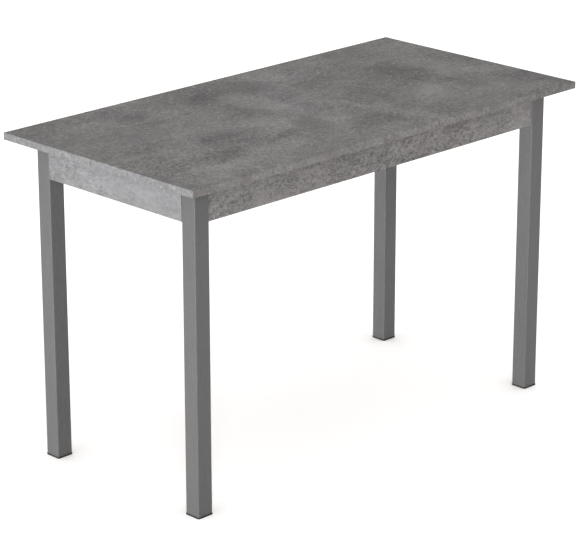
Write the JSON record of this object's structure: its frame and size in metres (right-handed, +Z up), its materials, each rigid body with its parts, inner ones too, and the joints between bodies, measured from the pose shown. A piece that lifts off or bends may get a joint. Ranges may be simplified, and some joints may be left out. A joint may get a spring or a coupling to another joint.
{
  "type": "extendable dining table",
  "caption": "Rectangular dining table on square tube legs, whose top halves slide apart on ball-bearing slides to take a leaf stored inside the frame.",
  "frame": {"origin": "on the floor under the middle of the closed table", "axes": "+X along the table's length and the right half's way out, +Y across its width towards the back, +Z up"},
  "size_m": [1.2, 0.6, 0.75],
  "materials": {
    "concrete_print_board": "matt melamine with a cloudy concrete print, on particle board",
    "grey_leg_paint": "satin grey powder coat with a faint brushed grain",
    "dark_plastic": "moulded, fine grain",
    "support_board": "plain light grey melamine",
    "beech_dowel": "turned beech, unfinished",
    "zinc_steel": "bright zinc plate",
    "lever_steel": "black lacquer, semi-matt",
    "bright_steel": "polished bearing steel",
    "felt": "pressed felt"
  },
  "bodies": {
    "frame": {"apron_long_back": "concrete_print_board", "apron_long_front": "concrete_print_board", "apron_short_left": "concrete_print_board", "apron_short_right": "concrete_print_board", "bearer_angles": "zinc_steel", "bearer_left": "support_board", "bearer_right": "support_board", "bearer_screws": "zinc_steel", "bracket_screws": "zinc_steel", "cleat_screws": "zinc_steel", "corner_bracket_back_left": "zinc_steel", "corner_bracket_back_right": "zinc_steel", "corner_bracket_front_left": "zinc_steel", "corner_bracket_front_right": "zinc_steel", "foot_cap_back_left": "dark_plastic", "foot_cap_back_right": "dark_plastic", "foot_cap_front_left": "dark_plastic", "foot_cap_front_right": "dark_plastic", "leaf_cleats": "support_board", "leaf_pads": "felt", "leg_back_left": "grey_leg_paint", "leg_back_right": "grey_leg_paint", "leg_bolts": "zinc_steel", "leg_front_left": "grey_leg_paint", "leg_front_right": "grey_leg_paint", "leg_top_plugs": "dark_plastic", "rivet_nuts": "zinc_steel", "slide_outer_back_left": "zinc_steel", "slide_outer_back_right": "zinc_steel", "slide_outer_front_left": "zinc_steel", "slide_outer_front_right": "zinc_steel", "slide_outer_screws": "zinc_steel"},
    "left_half": {"edge_strips_left": "concrete_print_board", "half_screws_left": "zinc_steel", "hanging_rail_back_left": "support_board", "hanging_rail_front_left": "support_board", "lock_base_back": "zinc_steel", "lock_base_front": "zinc_steel", "seam_dowels": "beech_dowel", "slide_inner_back_left": "zinc_steel", "slide_inner_front_left": "zinc_steel", "top_half_left": "concrete_print_board"},
    "right_half": {"edge_strips_right": "concrete_print_board", "half_screws_right": "zinc_steel", "hanging_rail_back_right": "support_board", "hanging_rail_front_right": "support_board", "lock_stud_back": "zinc_steel", "lock_stud_front": "zinc_steel", "slide_inner_back_right": "zinc_steel", "slide_inner_front_right": "zinc_steel", "top_half_right": "concrete_print_board"},
    "leaf": {"leaf_board": "concrete_print_board", "leaf_dowels": "beech_dowel", "leaf_edge_strips": "concrete_print_board"},
    "lock_lever_front": {"lock_lever_front": "lever_steel"},
    "lock_lever_back": {"lock_lever_back": "lever_steel"},
    "ball_cage_front_left": {"ball_cage_front_left": "bright_steel"},
    "ball_cage_front_right": {"ball_cage_front_right": "bright_steel"},
    "ball_cage_back_left": {"ball_cage_back_left": "bright_steel"},
    "ball_cage_back_right": {"ball_cage_back_right": "bright_steel"}
  },
  "joints": [
    {"name": "left_half_slide", "type": "slide", "parent": "frame", "child": "left_half", "axis": [-1, 0, 0], "range_m": [0, 0.15]},
    {"name": "right_half_slide", "type": "slide", "parent": "frame", "child": "right_half", "axis": [1, 0, 0], "range_m": [0, 0.15]},
    {"name": "ball_cage_front_left_roll", "type": "slide", "parent": "frame", "child": "ball_cage_front_left", "axis": [-1, 0, 0], "range_m": [0, 0.075]},
    {"name": "ball_cage_front_right_roll", "type": "slide", "parent": "frame", "child": "ball_cage_front_right", "axis": [1, 0, 0], "range_m": [0, 0.075]},
    {"name": "ball_cage_back_left_roll", "type": "slide", "parent": "frame", "child": "ball_cage_back_left", "axis": [-1, 0, 0], "range_m": [0, 0.075]},
    {"name": "ball_cage_back_right_roll", "type": "slide", "parent": "frame", "child": "ball_cage_back_right", "axis": [1, 0, 0], "range_m": [0, 0.075]},
    {"name": "lock_lever_front_turn", "type": "hinge", "parent": "left_half", "child": "lock_lever_front", "pos_m": [-0.022, -0.18, 0.7245], "axis": [0, 0, -1], "range_deg": [0, 90]},
    {"name": "lock_lever_back_turn", "type": "hinge", "parent": "left_half", "child": "lock_lever_back", "pos_m": [-0.022, 0.18, 0.7245], "axis": [0, 0, 1], "range_deg": [0, 90]},
    {"name": "leaf_lift", "type": "slide", "parent": "frame", "child": "leaf", "axis": [0, 0, 1], "range_m": [0, 0.012]}
  ],
  "couplings": [
    {"joint": "ball_cage_front_left_roll", "follows": "left_half_slide", "ratio": 0.5},
    {"joint": "ball_cage_front_right_roll", "follows": "right_half_slide", "ratio": 0.5},
    {"joint": "ball_cage_back_left_roll", "follows": "left_half_slide", "ratio": 0.5},
    {"joint": "ball_cage_back_right_roll", "follows": "right_half_slide", "ratio": 0.5}
  ]
}
